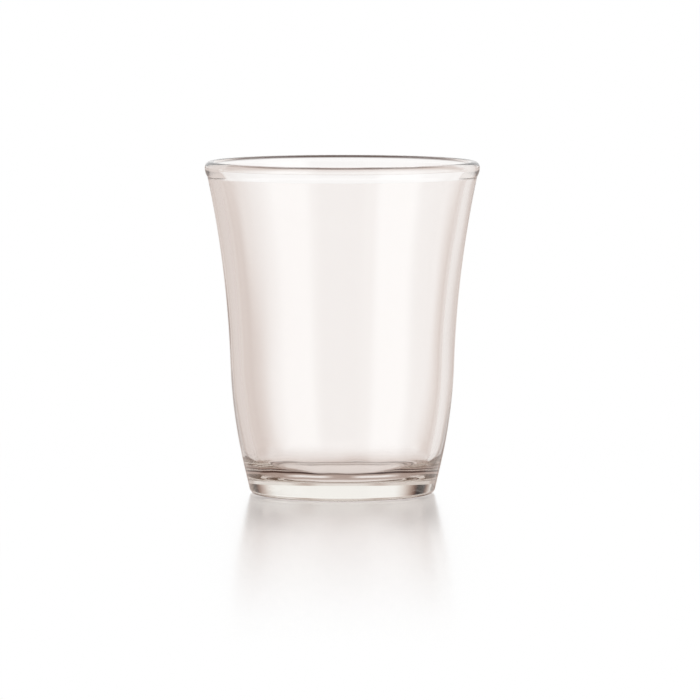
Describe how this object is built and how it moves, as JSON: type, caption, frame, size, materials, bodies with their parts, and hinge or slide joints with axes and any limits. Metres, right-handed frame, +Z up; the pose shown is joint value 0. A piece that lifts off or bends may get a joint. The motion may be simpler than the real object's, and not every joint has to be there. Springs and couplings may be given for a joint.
{
  "type": "juice glass",
  "caption": "Small clear tumbler with a thick base, a waisted flared body and a rounded bead at the rim, for juice or water.",
  "frame": {"origin": "centre of the foot, on the table", "axes": "+Z up along the axis of the glass; the glass is the same all round, so +X and +Y are free"},
  "size_m": [0.074, 0.074, 0.0894],
  "materials": {
    "clear_glass": "polished"
  },
  "bodies": {
    "root": {"tumbler": "clear_glass"}
  },
  "joints": []
}
